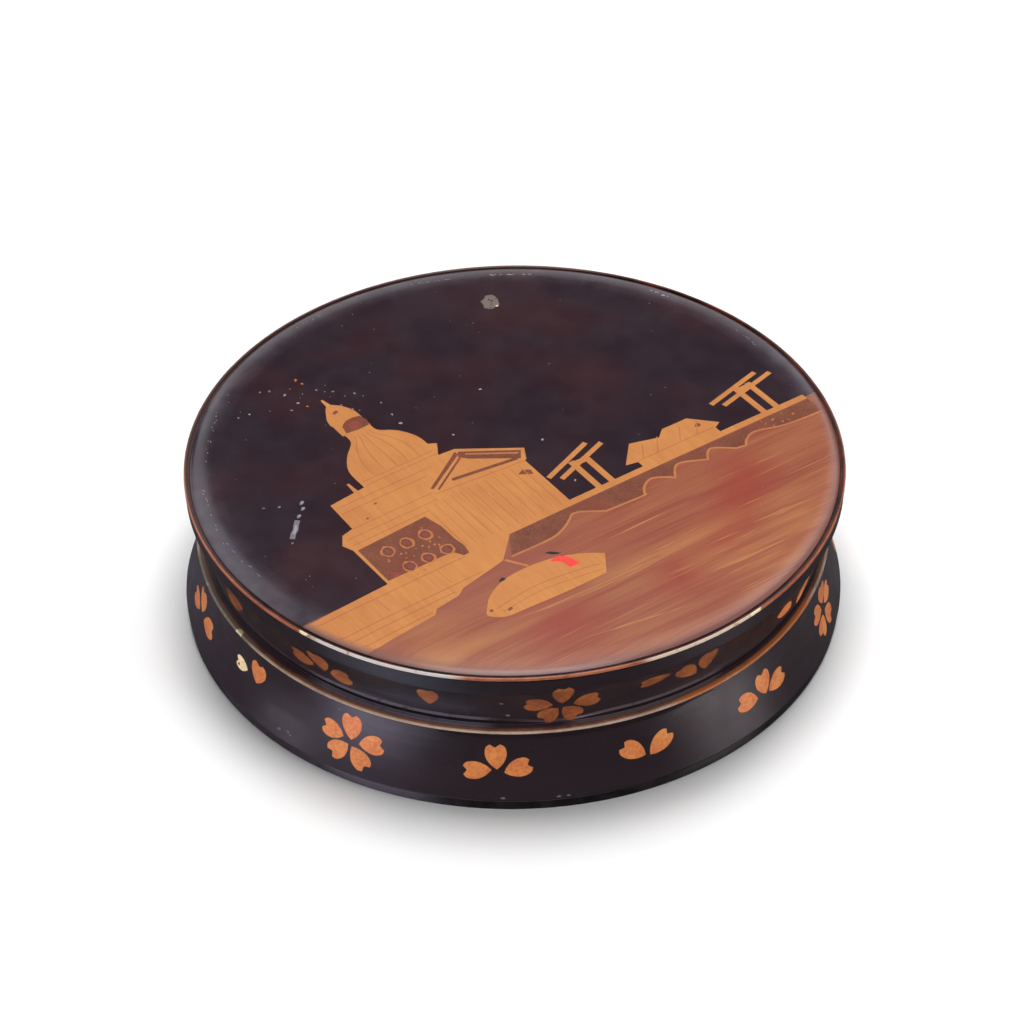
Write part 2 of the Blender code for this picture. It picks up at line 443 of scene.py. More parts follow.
def make_paints():
    """Every material by the name that the outlines call it."""
    bare_wood = paint(236, 218, 176)
    # The rim's touches: the pale ones at -22 and 32 degrees are painted highlights, the dark one darkens the
    # rim round the back left, and the two small bare_wood ones are chips
    rim_touches = [(edge_spot(degrees, LID_RADIUS, RIM_TOP), reach, colour) for degrees, reach, colour in (
        (-130.0, 80.0, paint(74, 38, 35)), (-22.0, 25.0, paint(200, 190, 184)),
        (32.0, 20.0, paint(208, 184, 164)), (-36.6, 2.0, bare_wood), (43.1, 2.4, bare_wood),
    )]
    # Painted reflection: the groove is lightened to a brown sheen round the left and back left
    painted_groove_sheen = (edge_spot(-125.0, GROOVE_IN, GROOVE_FLOOR), 120.0, paint(70, 46, 44))
    # Painted reflections: a lavender patch and a pale one on the lid's foot band, at the front left and the
    # front right
    left_glow = (edge_spot(-21.0, LID_FOOT_RADIUS, LID_BOTTOM), 30.0, paint(116, 108, 122))
    right_glow = (edge_spot(24.0, LID_FOOT_RADIUS, LID_BOTTOM), 26.0, paint(112, 98, 102))
    # Painted reflection: a pale patch on the base's foot band at the front left
    foot_glow = (edge_spot(-36.0, FOOT_RADIUS, 2.0), 44.0, paint(54, 46, 53))
    orange = (edge_spot(47.0, LEDGE_RADIUS, BASE_HEIGHT), 34.0, paint(198, 116, 66))
    chip = (edge_spot(-56.4, LEDGE_RADIUS, BASE_HEIGHT), 1.8, bare_wood)
    left_spot = edge_spot(-66.0, LEDGE_RADIUS, BASE_HEIGHT)
    ledge_touches = [(left_spot, 26.0, paint(128, 112, 92)), orange, chip]
    edge_touches = [(left_spot, 26.0, paint(118, 104, 86)), orange, chip]
    return {
        "plum": plum_lacquer(),
        "black": black_lacquer(),
        "inside": inner_lacquer(),
        "underside": underside_lacquer(),
        "gold": gold_powder("gold_powder", paint(198, 131, 69), paint(185, 116, 61)),
        "gold_line": gold_powder("deep_gold_powder", paint(182, 114, 64), paint(168, 99, 56)),
        "water": russet_water(),
        "streak": thin_gold(),
        "brown": brown_wash(),
        "window": plain_paint("dark_red_touch", paint(116, 56, 50)),
        "russet": plain_paint("russet_touch", paint(134, 58, 46)),
        "red": plain_paint("vermilion_touch", paint(236, 64, 54)),
        "soot": plain_paint("black_touch", paint(26, 24, 30)),
        "stain": plain_paint("grey_stain", paint(104, 90, 84), 0.5),
        "dust": plain_paint("grey_dust", paint(108, 102, 110), 0.6),
        "bright_dust": plain_paint("pale_dust", paint(146, 141, 147), 0.6),
        "groove": edge_lacquer("groove_lacquer", paint(30, 12, 14), paint(84, 36, 24), 0.5, [painted_groove_sheen]),
        "rim": edge_lacquer("rim_lacquer", paint(128, 64, 42), paint(166, 96, 66), 0.44, rim_touches),
        # Painted shadow: a near-black line under the rim, under the ledge in front and round the foot's
        # bottom edge
        "line": plain_paint("painted_shadow_line", paint(10, 7, 9), 0.5),
        # The lid's foot band, round and bottom are painted lighter than the black wall, painted light against
        # the shade where lid and base meet; the same paint lies on the ledge under and beside the lid's foot
        "seam": edge_lacquer("lid_foot_lacquer", paint(64, 52, 60), paint(76, 60, 66), 0.5,
                             [left_glow, right_glow]),
        "ledge_inner": edge_lacquer("ledge_lacquer", paint(92, 58, 50), paint(128, 84, 64), 0.5),
        "ledge": edge_lacquer("ledge_border_lacquer", paint(112, 68, 48), paint(158, 104, 78), 0.46,
                              ledge_touches),
        # The ledge's pale edge: worn, and partly a painted highlight
        "ledge_edge": edge_lacquer("ledge_edge_lacquer", paint(160, 128, 110), paint(192, 164, 144), 0.46,
                                   edge_touches),
        "foot": edge_lacquer("foot_lacquer", paint(19, 14, 16), paint(42, 35, 37), 0.56, [foot_glow], 0.22),
        "petal": petal_gold("petal_gold", paint(232, 147, 77), paint(205, 109, 60)),
        "deep_petal": petal_gold("deep_petal_gold", paint(160, 90, 42), paint(126, 64, 35)),
        "cream": plain_paint("bare_cream", paint(250, 222, 172), 0.5),
    }


class Shell:
    """A turned piece under way: points, faces, and the paint and corner normals of each face."""

    def __init__(self):
        self.points = []
        self.faces = []
        self.paints = []
        self.normals = []

    def point(self, x, y, z):
        self.points.append((x, y, z))
        return len(self.points) - 1

    def ring(self, radius, height):
        """A circle of points about the Z axis from the back on, or one point where it has no radius."""
        if radius < WELD:
            return [self.point(0.0, 0.0, height)] * AROUND
        return [self.point(*around(radius, height, azimuth)) for azimuth in azimuths()]

    def face(self, corners, normals, paint_name):
        kept = [i for i in range(len(corners)) if corners[i] != corners[i - 1]]
        self.faces.append([corners[i] for i in kept])
        self.normals += [normals[i] for i in kept]
        self.paints.append(paint_name)

    def band(self, first, last, slopes, paint_name):
        """Joins two rings. The slopes are the profile's normals at them, as (outward, upward) pairs."""
        turns = azimuths()
        for step in range(AROUND):
            after = (step + 1) % AROUND
            corners = [first[step], last[step], last[after], first[after]]
            ends = zip((0, 1, 1, 0), (step, step, after, after))
            self.face(corners, [leaning(slopes[end], turns[at]) for end, at in ends], paint_name)

    def turn(self, spans, first=None, last=None):
        """Turns (paint, profile points) spans, each from the end of the one before it.

        first and last are rings already made. A point that lies on the one before it is passed over.
        """
        profile = [spans[0][1][0]]
        names = []
        for name, points in spans:
            for place in points:
                if math.dist(place, profile[-1]) > WELD:
                    profile.append(place)
                    names.append(name)
        rings = [self.ring(*place) for place in profile[1:-1]]
        rings.insert(0, first or self.ring(*profile[0]))
        rings.append(last or self.ring(*profile[-1]))
        square = [normal_of(a, b) for a, b in zip(profile, profile[1:])]
        for i, name in enumerate(names):
            start = eased(square[i - 1], square[i]) if i else square[i]
            end = eased(square[i + 1], square[i]) if i + 1 < len(square) else square[i]
            self.band(rings[i], rings[i + 1], (start, end), name)

    def skin(self, outlines, border, grid, lift, ground):
        """Fills a border with triangles that follow the outlines' edges, the last outline lying on top.

        border is a loop of (flat place, point already made), grid is loops and lines of flat places that
        carry the curvature, and lift gives the place and normal in space of a flat place.
        """
        flat = [Vector(place) for place, _ in border]
        edges = []
        for line, closed in grid:
            start = len(flat)
            flat += [Vector(place) for place in line]
            edges += [(start + i, start + i + 1) for i in range(len(line) - 1)]
            if closed:
                edges.append((start + len(line) - 1, start))
        faces = [list(range(len(border)))]
        for _, outline in outlines:
            faces.append(list(range(len(flat), len(flat) + len(outline))))
            flat += [Vector(place) for place in outline]
        places, _, triangles, origins, _, owners = delaunay_2d_cdt(flat, edges, faces, 1, WELD, True)
        lifted = [lift(place) for place in places]
        made = []
        for (place, _), origin in zip(lifted, origins):
            known = [at for at in origin if at < len(border)]
            made.append(border[known[0]][1] if known else self.point(*place))
        for corners, owner in zip(triangles, owners):
            top = max(owner)
            name = outlines[top - 1][0] if top else ground
            self.face([made[i] for i in corners], [lifted[i][1] for i in corners], name)

    def finish(self, name, paints, middle):
        """Makes the piece, in metres, about a middle given in millimetres along X."""
        points = [((x + middle) * MM, y * MM, (z - sinking(x, y, z)) * MM) for x, y, z in self.points]
        mesh = bpy.data.meshes.new(name)
        mesh.from_pydata(points, [], self.faces)
        used = sorted(set(self.paints))
        for paint_name in used:
            mesh.materials.append(paints[paint_name])
        for face, paint_name in zip(mesh.polygons, self.paints):
            face.material_index = used.index(paint_name)
            face.use_smooth = True
        mesh.normals_split_custom_set(self.normals)
        piece = bpy.data.objects.new(name, mesh)
        bpy.context.scene.collection.objects.link(piece)
        return piece


def sinking(x, y, z):
    """How far the lid's rim and shoulder have warped down at a place. They have at the front left alone."""
    turn = math.atan2(x, -y) - math.radians(WARP_MIDDLE)
    share = math.exp(-(turn / math.radians(WARP_SPREAD)) ** 2)
    inward = bounded(math.hypot(x, y), SHOULDER_IN - WARP_LEAD, GROOVE_IN)
    upward = bounded(z, LID_BOTTOM + WARP_FOOT, RIM_TOP - EDGE_HEIGHT)
    return WARP_DEPTH * share * inward ** 2 * upward


def azimuths():
    """Angles round the piece from the back, over the left, the front and the right; 0 is the front."""
    return [math.tau * step / AROUND - math.pi for step in range(AROUND)]


def around(radius, height, azimuth):
    """A place in space from its radius, height and angle from the front, to the right."""
    return radius * math.sin(azimuth), -radius * math.cos(azimuth), height


def leaning(slope, azimuth):
    """A direction in space from how far it points outward and upward."""
    out, up = slope
    return out * math.sin(azimuth), -out * math.cos(azimuth), up


def normal_of(start, end):
    """The outward normal of a profile's step from start to end."""
    run, climb = end[0] - start[0], end[1] - start[1]
    length = math.hypot(run, climb)
    return -climb / length, run / length


def turned(origin, x, y, turn):
    """The flat place at distances along and across a turned direction from an origin."""
    along, across = math.cos(turn), math.sin(turn)
    return origin[0] + x * along - y * across, origin[1] + x * across + y * along


def moved(place, direction, reach):
    """A flat place moved some way in a direction."""
    return place[0] + direction[0] * reach, place[1] + direction[1] * reach


def between(start, end, share):
    """The flat place that is a share of the way from start to end."""
    return start[0] + share * (end[0] - start[0]), start[1] + share * (end[1] - start[1])


def bounded(value, low, high):
    """How far a value is from low to high, as a share from 0 to 1."""
    return min(max((value - low) / (high - low), 0.0), 1.0)


def eased(other, own):
    """The normal shared by two neighbouring steps, or a step's own where they meet at an edge."""
    cosine = other[0] * own[0] + other[1] * own[1]
    if cosine < math.cos(SMOOTH_BEND):
        return own
    across, up = other[0] + own[0], other[1] + own[1]
    length = math.hypot(across, up)
    return across / length, up / length


def arc(radius, height, size, start, end, steps=ROUND_STEPS):
    """Points of a round about (radius, height), from one angle in degrees to another."""
    turns = [math.radians(start + (end - start) * i / steps) for i in range(steps + 1)]
    return [(radius + size * math.cos(turn), height + size * math.sin(turn)) for turn in turns]


def levels(low, high, steps):
    """Numbers from low to high in equal steps, both ends among them."""
    return [low + (high - low) * i / steps for i in range(steps + 1)]


def curve(points, steps):
    """A smooth line through the given points, ends included."""
    padded = [points[0], *points, points[-1]]
    line = []
    for a, b, c, d in zip(padded, padded[1:], padded[2:], padded[3:]):
        for t in levels(0.0, 1.0, steps)[:-1]:
            weights = (
                (-t + 2 * t * t - t ** 3) / 2,
                (2 - 5 * t * t + 3 * t ** 3) / 2,
                (t + 4 * t * t - 3 * t ** 3) / 2,
                (t ** 3 - t * t) / 2,
            )
            line.append(tuple(sum(w * p[axis] for w, p in zip(weights, (a, b, c, d))) for axis in (0, 1)))
    return line + [points[-1]]


def box(left, low, right, high):
    """An upright oblong."""
    return [(left, low), (right, low), (right, high), (left, high)]


def stroke(start, end, width, end_width=None):
    """A straight stroke, which may narrow towards its end."""
    half = width / 2
    end_half = half if end_width is None else end_width / 2
    side = normal_of(start, end)
    return [moved(start, side, -half), moved(end, side, -end_half), moved(end, side, end_half),
            moved(start, side, half)]


def strokes(name, width, runs):
    """Straight strokes of one paint and width, each given as the two places that it joins."""
    return [(name, stroke(start, end, width)) for start, end in runs]


def ribbon(line, width):
    """A line of even width through many points."""
    sides = ([], [])
    for i, place in enumerate(line):
        side = normal_of(line[max(i - 1, 0)], line[min(i + 1, len(line) - 1)])
        sides[0].append(moved(place, side, -width / 2))
        sides[1].append(moved(place, side, width / 2))
    return sides[0] + sides[1][::-1]


def speck(place, size, turn, squash=0.7):
    """A small uneven mark."""
    corners = []
    for i in range(6):
        angle = math.tau * i / 6
        reach = size / 2 * (1.0 if i % 2 else 0.8)
        corners.append(turned(place, reach * math.cos(angle), reach * squash * math.sin(angle), turn))
    return corners


def fleck(name, place, size, draw):
    """A speck of one paint, turned any way."""
    return name, speck(place, size, draw.uniform(0, math.pi))


def blot(middle, wide, tall, steps, evenness, draw):
    """A round mark with an uneven edge, whose reach varies between two shares."""
    corners = []
    for turn in levels(0.0, math.tau, steps)[:-1]:
        reach = draw.uniform(*evenness)
        corners.append((middle[0] + wide * reach * math.cos(turn), middle[1] + tall * reach * math.sin(turn)))
    return corners


def lens(start, middle, end, width):
    """A brush stroke that is widest at its middle and pointed at both ends."""
    return [start, (middle[0], middle[1] - width / 2), end, (middle[0], middle[1] + width / 2)]


def anticlockwise(outline):
    """The outline in the order that its filling needs."""
    area = sum(a[0] * b[1] - b[0] * a[1] for a, b in zip(outline, outline[1:] + outline[:1]))
    return outline if area > 0 else outline[::-1]


def cropped(outline, corners):
    """The part of an outline inside a convex shape, whose corners run anticlockwise."""
    for a, b in zip(corners, corners[1:] + corners[:1]):
        def inside(place):
            return (b[0] - a[0]) * (place[1] - a[1]) - (b[1] - a[1]) * (place[0] - a[0])
        kept = []
        for start, end in zip(outline, outline[1:] + outline[:1]):
            near, far = inside(start), inside(end)
            if near >= 0:
                kept.append(start)
            if near * far < 0:
                kept.append(between(start, end, near / (near - far)))
        outline = kept
    return outline


def quay():
    """A stepped gold quay along the shore's near end, with a few course lines."""
    steps = [(-60, -20.5), (-38, -18.5), (-36, -16.5), (-28, -15.5), (-25, -13.5), (-15, -11.5), (-9, -10.2)]
    marks = [("gold", [(-80, -1.6), (-80, -22), *steps, (-1, -2), (0, 0.5), (-40, 0.5)])]
    courses = ((-2.4, -72, -17), (-10.8, -66, -16), (-13.6, -64, -28), (-17.2, -62, -38))
    marks += strokes("gold_line", 0.5, [((left, low - 0.8), (right, low)) for low, left, right in courses])
    return marks + strokes("gold_line", 0.4, [((left, -3), (left + 0.5, -9.5)) for left in (-48, -27)])


def causeway():
    """The far end of the shore: a gold coping, and a brown wall scalloped by arches with a thin gold line."""
    coping = -1.7
    scallops = []
    for arch in (
        ((-6, -10.2), (7.4, -10.3), (12.9, -8.9), (17.1, -6.5), (19.3, -4.8), (21.9, -5.1)),
        ((28.6, -9.3), (41.6, -9.9), (42.8, -8.9), (44.8, -6.4), (48.8, -4.8), (54, -7.7)),
        ((54.5, -8.7), (57.8, -4.4), (61, -3.9), (67.3, -6.8)),
        ((68, -7.2), (70.3, -4.2), (72.9, -3.7), (78.5, -7.7)),
        ((81.8, -8.3), (84, -5.9), (88.5, -4.4), (98, -7), (112, -8)),
    ):
        scallops += curve(arch, 4)
    marks = [("brown", [(-1.2, coping), *scallops, (112, coping + 1)])]
    marks.append(("gold_line", ribbon(scallops, 0.75)))
    draw = random.Random(7)
    for _ in range(9):
        place = (draw.uniform(92, 112), draw.uniform(-6, -1))
        marks.append(("streak", speck(place, draw.uniform(0.7, 1.6), 0.6)))
    marks.append(("gold", [(-3, 0.8), (-3, coping), (112, coping + 1.3), (112, 1.9)]))
    return marks


def domed_hall():
    """A gold hall of generic classical parts: a ribbed dome with a lantern, a terrace and a gabled porch."""
    left = curve([(-23.8, 41), (-23.6, 50), (-20.2, 56.5), (-15.6, 61.6), (-15.2, 66)], 5)
    right = curve([(2.8, 41), (2.9, 51.5), (-0.6, 58.5), (-5.4, 62.4), (-6, 66)], 5)
    cap = curve([(-16.2, 72), (-15.6, 75.5), (-13.4, 79.8), (-12.2, 81.4)], 4)
    cap += curve([(-10.4, 81.4), (-8, 79), (-6.2, 75.2), (-5.9, 72)], 4)
    body = [
        (-41.8, 0.3), (-42, 18.5), (-43.5, 22), (-41, 26), (-37, 27), (-36.6, 39.8),
        (-24, 41.2), (4, 41.2), (8.3, 40.9), (25.9, 29.2), (23.4, 24.4), (22.6, 24), (22.6, 0.3),
    ]
    marks = [
        ("gold", left + right[::-1]),
        ("gold", cap),
        ("gold", stroke((-11.3, 80.8), (-11.6, 85.2), 1.9, 0.7)),
        ("gold", box(-15.9, 65.8, -5.9, 72.4)),
        ("brown", curve([(-14.2, 66.4), (-6.2, 66.2), (-6.2, 71.6), (-11, 71.9), (-13.6, 69.8)], 2)),
        ("russet", curve([(-11.8, 67.4), (-9.6, 67.2), (-8.2, 69), (-9.4, 70.6), (-11.4, 70)], 3)),
        ("window", speck((-11.4, 77.4), 2.6, 0.3, 0.6)),
        ("gold", [(3, 47.8), (5.6, 46.4), (4.6, 44.6), (3.4, 42.6), (2.6, 41)]),
        ("gold", body),
        ("gold", stroke((-26.9, 40), (-27, 45.4), 1.5, 0.8)),
    ]
    for share in (-0.62, -0.30, 0.02, 0.34, 0.66):
        rib = [((a[0] + b[0]) / 2 + (b[0] - a[0]) / 2 * share * 0.94, (a[1] + b[1]) / 2)
               for a, b in zip(left[2:-3], right[2:-3])]
        marks.append(("gold_line", ribbon(rib, 0.42)))
    courses = ((43.6, -23, 2.4), (41.6, -23, 3), (37.4, -36, -2), (34.4, -36, -6), (26.8, -37, -8),
               (23.4, -41, -9), (20.4, -41, -14))
    marks += strokes("gold_line", 0.4, [((start, low), (end, low + 0.5)) for low, start, end in courses])
    marks += [("window", speck(place, 1.3, 0.3)) for place in ((7.2, 39.2), (-30.8, 28.4), (-25.2, 32.9))]
    return marks + porch() + panel()


def porch():
    """The gabled front: brown roof slopes, a cornice, and thin uprights between the columns."""
    marks = [
        ("brown", [(8.4, 39.2), (24.5, 28.9), (22.2, 25.6), (20.4, 26.8), (9, 34.6), (7, 37)]),
        ("gold_line", stroke((9.6, 37), (23, 28.2), 0.7)),
        ("brown", stroke((7.6, 38.8), (-7.8, 28.8), 1.5, 1)),
        ("brown", stroke((7.4, 36.4), (-6.4, 27.4), 0.7)),
        ("brown", stroke((-0.5, 29), (21.4, 26.2), 1.3)),
        ("gold_line", stroke((-8.5, 26.2), (22.4, 24), 0.5)),
        ("brown", [(17, 19.6), (19.4, 20.8), (21.4, 19.4), (21, 17.2)]),
    ]
    uprights = [-14 + step * 3.05 for step in range(12)]
    return marks + strokes("gold_line", 0.34, [((x, 1), (x, 23.2)) for x in uprights])


def panel():
    """A brown wall with two rows of small windows in uneven gold frames, and one red touch."""
    draw = random.Random(9)
    wall = [
        (-40.9, 1.4), (-40.9, 17.8), (-16.6, 19.3), (-15.1, 13.1), (-15, 6), (-14.4, 1.7), (-15, -1.7),
        (-17, -1.8), (-18.5, 0.8), (-22, 1.4),
    ]
    touch = curve([(-39.6, 2.2), (-37.4, 1.6), (-36.4, 3), (-38.4, 4)], 3)
    marks = [("brown", wall), ("russet", touch)]
    for left, height in ((-34, 12.4), (-32.4, 3.2)):
        for middle in (left, left + 6.5, left + 13):
            for name, wide, tall in (("gold_line", 2.3, 2.6), ("brown", 1.65, 1.95), ("window", 0.8, 1.1)):
                marks.append((name, blot((middle, height), wide, tall, 12, (0.88, 1.10), draw)))
            for _ in range(3):
                x = middle + draw.uniform(-3.4, 3.4)
                y = height + draw.choice((-3.6, 3.6)) + draw.uniform(-0.6, 0.6)
                marks.append(fleck("gold_line", (x, y), draw.uniform(0.7, 1.3), draw))
    return marks


def pole_frame(left, right, low, rise):
    """Two slanted beams on a pair of posts."""
    post = (left + right) / 2 - 1.5
    beams = [((left, low + 12.4), (right - 4, low + 12.4 + rise)),
             ((left + 3, low + 9.8), (right, low + 9.8 + rise))]
    marks = strokes("gold", 1.7, beams)
    marks += strokes("gold", 2.1, [((x, low), (x, low + 15)) for x in (post, post + 4.9)])
    return marks + [("gold", box(post - 1, low + 12.4, post + 5.9, low + 14.6))]


def low_house():
    """A low gold house with two roofs, behind the causeway."""
    roofs = [
        (50, 0.5), (50, 3.8), (46, 4.6), (53, 12.5), (62.4, 9.8), (65.6, 12.6), (75, 12.6),
        (82.2, 5.4), (79.6, 4), (79.6, 0.8),
    ]
    marks = [("gold", roofs), ("window", speck((75.8, 8), 2.6, 0.2, 0.8))]
    lines = [((x, 4.4), (x + 4, 10.4)) for x in (52.5, 58, 66.5, 73)]
    return marks + strokes("gold_line", 0.4, lines) + strokes("gold_line", 0.5, [((50.5, 4.2), (79, 4.4))])


def boat():
    """A broad gold boat with a red pennant, and its wake."""
    wake = curve([(-20, -33), (0, -34.2), (24, -33.6), (30, -34.4)], 4)
    wake += curve([(26, -35.6), (6, -36.2), (-10, -34.6)], 4)
    hull = [(-26, -26.5), (-20.5, -20.5), (-12, -17), (0, -17), (10, -20), (17, -24.4)]
    keel = [(12.4, -31.6), (0, -31.8), (-14, -31.2), (-22, -30.6), (-26, -27.6)]
    pennant = curve([(2.2, -18), (5, -17.8), (7.2, -19.6), (8.6, -24)], 3)
    pennant += curve([(5, -23.8), (4.6, -20.6), (2.2, -18.8)], 3)
    return [
        ("streak", wake),
        ("gold", curve(hull, 4) + curve(keel, 4)),
        ("gold_line", ribbon(curve([(-22.5, -26.4), (-8, -24.6), (6, -26), (13.4, -27.6)], 4), 0.4)),
        ("gold_line", ribbon(curve([(-21.5, -28.4), (-8, -27.2), (5, -28.6), (12.4, -29.8)], 4), 0.35)),
        ("gold_line", stroke((-8.5, -10.4), (-4.4, -16.4), 0.9)),
        ("window", speck((-24, -26.2), 1.5, 0.4, 0.8)),
        ("window", speck((-19.2, -28.6), 2.2, 0.3, 0.6)),
        ("red", pennant),
        ("soot", [(2.6, -14.4), (4.2, -14.6), (6.8, -17.2), (5.4, -17), (3.8, -16)]),
        ("soot", speck((-14, -17), 2.8, 0.2, 0.55)),
    ]


def water_strokes():
    """Thin brush strokes along the shore: a few long ones by the boat, and fine ones over the near water."""
    marks = []
    for start, end, width in (
        ((20, -20), (48, -19.6), 0.7), ((10, -36.8), (42, -34.6), 0.9),
        ((16, -34), (50, -30), 0.8), ((36, -48.6), (66, -49.6), 1.6),
        ((38, -51.8), (60, -52.6), 0.9), ((60, -38), (90, -40.2), 1.6),
        ((66, -42.4), (88, -43.4), 0.8), ((-10, -50.4), (27, -57), 0.9),
    ):
        middle = (start[0] * 0.6 + end[0] * 0.4, start[1] * 0.6 + end[1] * 0.4)
        marks.append(("streak", lens(start, middle, end, width)))
    draw = random.Random(11)
    for left, right, low, high, count in ((20, 104, -60, -38, 22), (-40, 60, -62, -40, 12),
                                          (60, 104, -38, -12, 10)):
        for _ in range(count):
            length = draw.uniform(9, 30)
            start = (draw.uniform(left, right - length / 2), draw.uniform(low, high))
            width = draw.uniform(0.2, 0.45)
            middle = (start[0] + length * 0.4, start[1] + draw.uniform(-0.2, 0.2))
            end = (start[0] + length, start[1] + draw.uniform(-0.5, 0.5))
            marks.append(("streak", lens(start, middle, end, width)))
    return marks


def on_lid(place):
    """A place on the lid from its distances along and above the shore line."""
    return turned(SHORE_POINT, place[0], place[1], SHORE_TURN)


def fleck_row(middle, run, count, size, name, draw):
    """A line of small uneven flecks about a place, along a run."""
    marks = []
    turn = math.atan2(run[1], run[0])
    for _ in range(count):
        x, y = moved(middle, run, draw.uniform(-0.5, 0.5))
        place = (x + draw.gauss(0, 0.3), y + draw.gauss(0, 0.3))
        marks.append((name, speck(place, draw.uniform(0.6, 1) * size, turn, 0.4)))
    return marks


def lid_dust():
    """Dust, flecks and a scratch on the dark ground, rows of pale flecks along its shoulder, and a stain near
    them.
    """
    draw = random.Random(5)
    marks = []
    motes, widest = 90, 96
    for _ in range(motes):
        turn, reach = draw.uniform(0, math.tau), widest * math.sqrt(draw.random())
        place = (reach * math.cos(turn), reach * math.sin(turn))
        marks.append(fleck("dust", place, draw.uniform(0.25, 0.6), draw))
    for name, size, places in (
        ("bright_dust", 1.5, ((-34.8, 13.3), (-71.2, 28.4), (-66.8, 24.2))),
        ("bright_dust", 1.1, ((-18.6, 7.2), (-10.5, 30.1), (-81.5, 18.9), (18, -15.4), (8.5, 4.3),
                              (-37.5, 17.7))),
        ("dust", 1.2, ((-84.8, 17.2), (-68.6, 20.6), (-76.1, 30.5), (-79, 30.1), (-61.5, 30.8),
                       (-56.3, 29.9), (-53.4, 22.8), (-49.9, 20.7), (-49.5, 28.8), (-41.1, 23.8),
                       (-74.3, -26.8), (-69.7, -26.4))),
        ("gold_line", 1.3, ((-68.2, 36.1), (-66.1, 34.2), (-63.8, 22.5))),
    ):
        for place in places:
            marks.append(fleck(name, place, size * draw.uniform(0.85, 1.15), draw))
    for _ in range(12):
        place = (draw.gauss(-60, 14), draw.gauss(26, 8))
        marks.append(fleck("dust", place, draw.uniform(0.4, 0.7), draw))
    for x, y, size in ((-63.2, -24.6, 2.4), (-62.7, -27.3, 2.2), (-63.7, -30.8, 2.3), (-65, -43, 1)):
        marks.append(("dust", speck((x, y), size, 1.2, 0.6)))
        marks.append(("bright_dust", speck((x + 0.2, y + 0.2), size * 0.6, 1.2, 0.5)))
    scratch = [(-64, -32.6), (-64.3, -34.8), (-64.3, -36.8), (-64.9, -38.8), (-65.1, -41.2)]
    marks += [("dust", ribbon(scratch, 1.6)), ("bright_dust", ribbon(scratch[1:4], 0.8))]
    marks.append(("stain", blot((-7.3, 77.8), 3, 4.4, 14, (0.75, 1.1), draw)))
    for _ in range(7):
        place = (draw.gauss(-7, 1.4), draw.gauss(77.4, 2))
        marks.append(fleck("plum", place, draw.uniform(0.7, 1.5), draw))
    marks.append(("cream", speck((-5.2, 75.2), 1.1, 0.4)))
    for middle, run, count, size, name in (
        ((0, 93.2), (16, 0), 16, 1.3, "bright_dust"),
        ((47.6, 81.8), (6, -4), 9, 1.4, "bright_dust"),
        ((74, 57), (6, -9), 9, 1.2, "dust"),
        ((-66, 68), (7, 7), 7, 1.2, "dust"),
        ((-26, 90), (22, 6), 12, 1.2, "dust"),
        ((-92.5, 8), (2, 26), 12, 1.2, "dust"),
        ((-90.5, -26), (-7, 24), 12, 1.2, "dust"),
        ((-79, -50), (-12, 16), 10, 1.2, "dust"),
    ):
        marks += fleck_row(middle, run, count, size, name, draw)
    return marks


def draped(outline):
    """An outline with its edges bent over the shoulder so that they look straight from the front above."""
    laid = []
    for start, end in zip(outline, outline[1:] + outline[:1]):
        outer = max(math.hypot(*start), math.hypot(*end)) > SHOULDER_IN
        pieces = math.ceil(math.dist(start, end) / DRAPE_STEP) if outer else 1
        for share in levels(0.0, 1.0, max(pieces, 1))[:-1]:
            x, y = between(start, end, share)
            radius = math.hypot(x, y)
            drop = SHOULDER_TOP - dome(radius)[0] if radius > SHOULDER_IN else 0.0
            laid.append((x, y + VIEW_SLANT * drop))
    return laid


def picture():
    """Every outline on the lid's top, the lowest first, in the lid's own millimetres."""
    shore = [("water", [(-90, -0.6), (-90, -90), (120, -90), (120, 0.6)])]
    shore += water_strokes() + causeway() + quay() + domed_hall()
    shore += pole_frame(23.5, 46.5, 0.6, 7.5) + low_house() + pole_frame(85.5, 111, 1.4, 5.6)
    shore += boat()
    marks = [(name, draped([on_lid(place) for place in outline])) for name, outline in shore] + lid_dust()
    # Painted shade: a thin ring of the groove's dark paint on the shoulder's edge, inside which the picture
    # is cut
    reach = GROOVE_IN - GROOVE_SHADE
    outlines = [("groove", circle(GROOVE_IN - PAINT_MARGIN, AROUND)), ("plum", circle(reach, AROUND))]
    for name, outline in marks:
        inner = anticlockwise(outline)
        if max(math.hypot(*place) for place in inner) > reach:
            inner = cropped(inner, circle(reach - PAINT_MARGIN, AROUND))
        if inner:
            outlines.append((name, inner))
    return outlines


def petal(tip, angle, length, width, notch=1.1):
    """A cherry petal that points away from its inner tip: a drop with two lobes at its outer end."""
    shares = ((0.0, 0.0), (0.17, 0.25), (0.44, 0.46), (0.70, 0.50), (0.90, 0.42), (1.0, 0.24))
    upper = curve([(along * length, across * width) for along, across in shares], 4)
    outline = [(x, -y) for x, y in upper[1:]] + [(length - notch, 0.0)] + upper[:0:-1] + [(0.0, 0.0)]
    return [turned(tip, x, y, math.radians(angle)) for x, y in outline]


